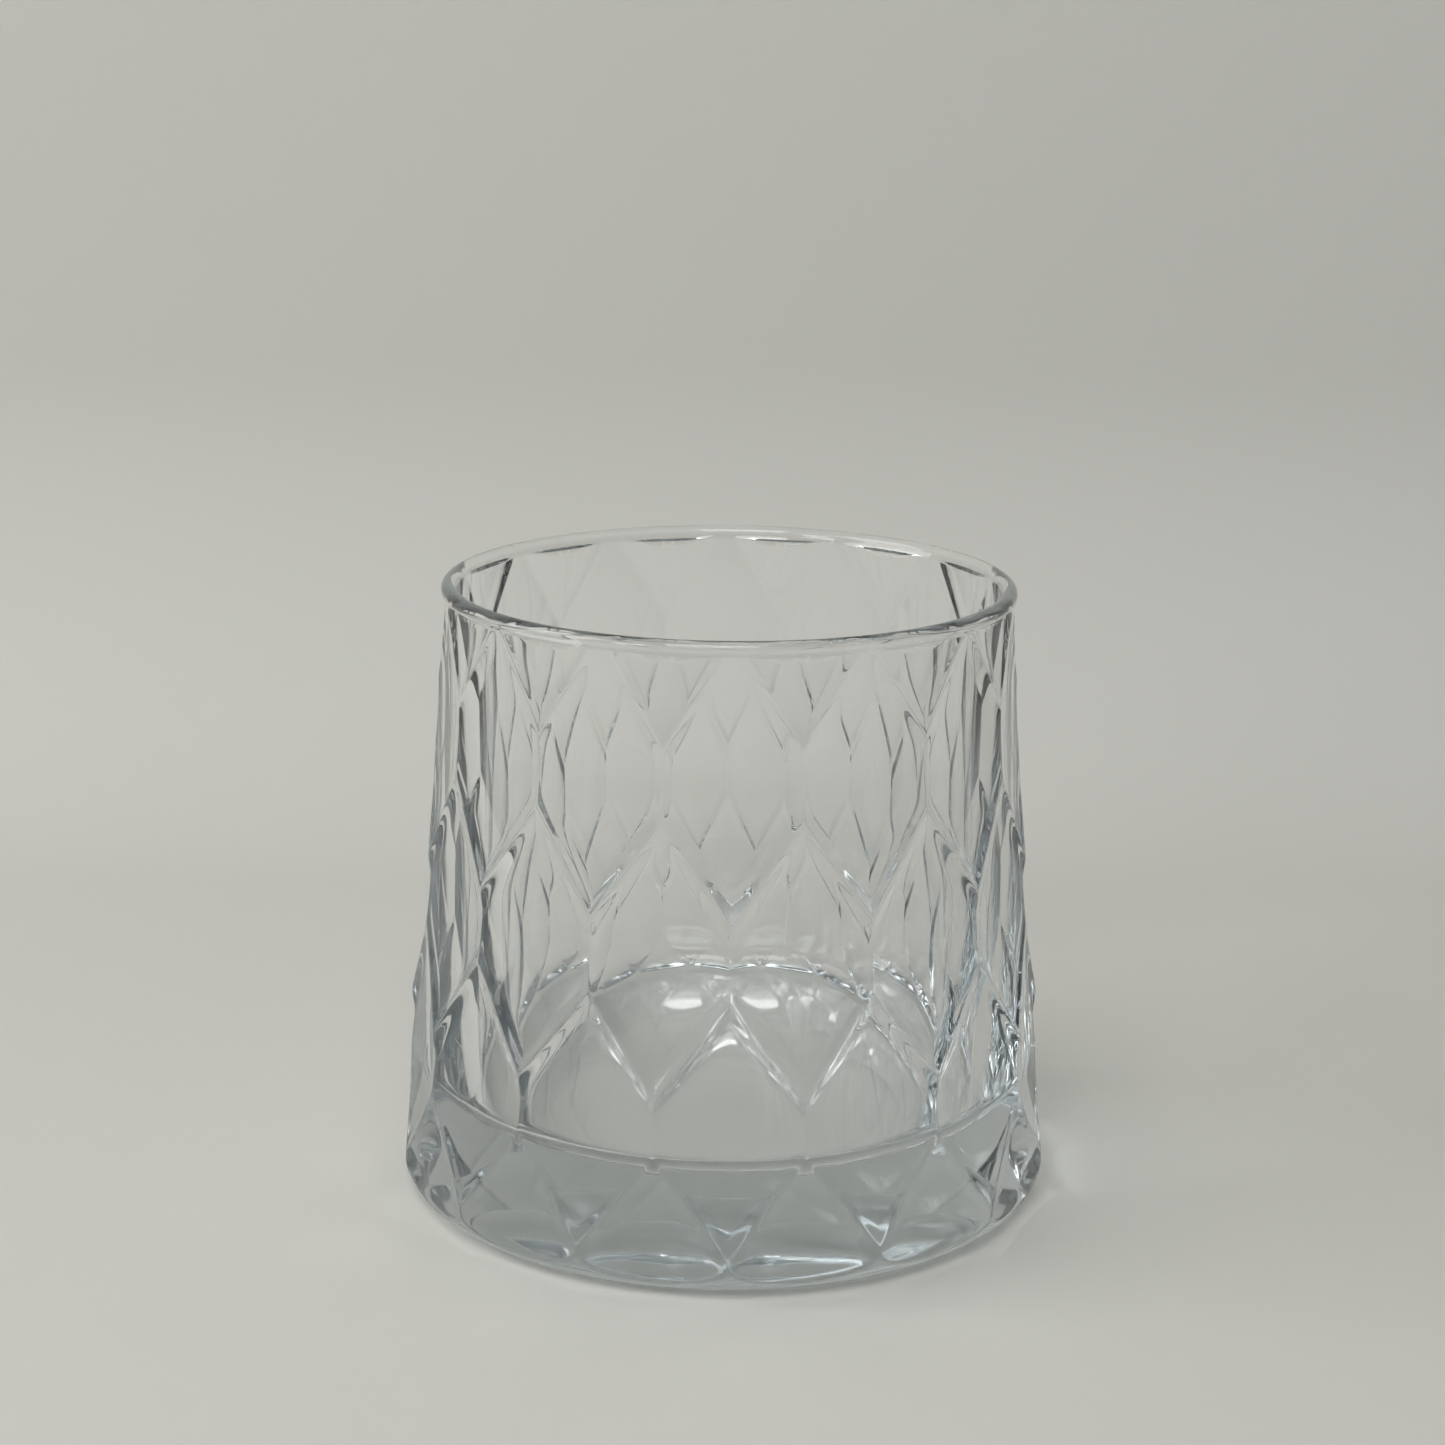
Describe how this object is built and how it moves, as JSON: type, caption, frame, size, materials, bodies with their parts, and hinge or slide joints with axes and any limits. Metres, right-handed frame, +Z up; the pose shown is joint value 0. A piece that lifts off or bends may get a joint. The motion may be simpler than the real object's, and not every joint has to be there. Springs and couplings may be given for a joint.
{
  "type": "whiskey tumbler",
  "caption": "Low, flared tumbler of clear pressed glass with staggered scooped facets outside, a smooth open cup, a thick floor and a rounded bead rim.",
  "frame": {"origin": "centre of the base, on the table", "axes": "+Z up along the cup's axis; -Y is the front, where a facet of the top row is centred; +X is to the right"},
  "size_m": [0.0892, 0.091, 0.086],
  "materials": {
    "glass": "clear pressed soda-lime glass with a faint blue-green tint, fire-polished and smooth"
  },
  "bodies": {
    "root": {"tumbler": "glass"}
  },
  "joints": []
}
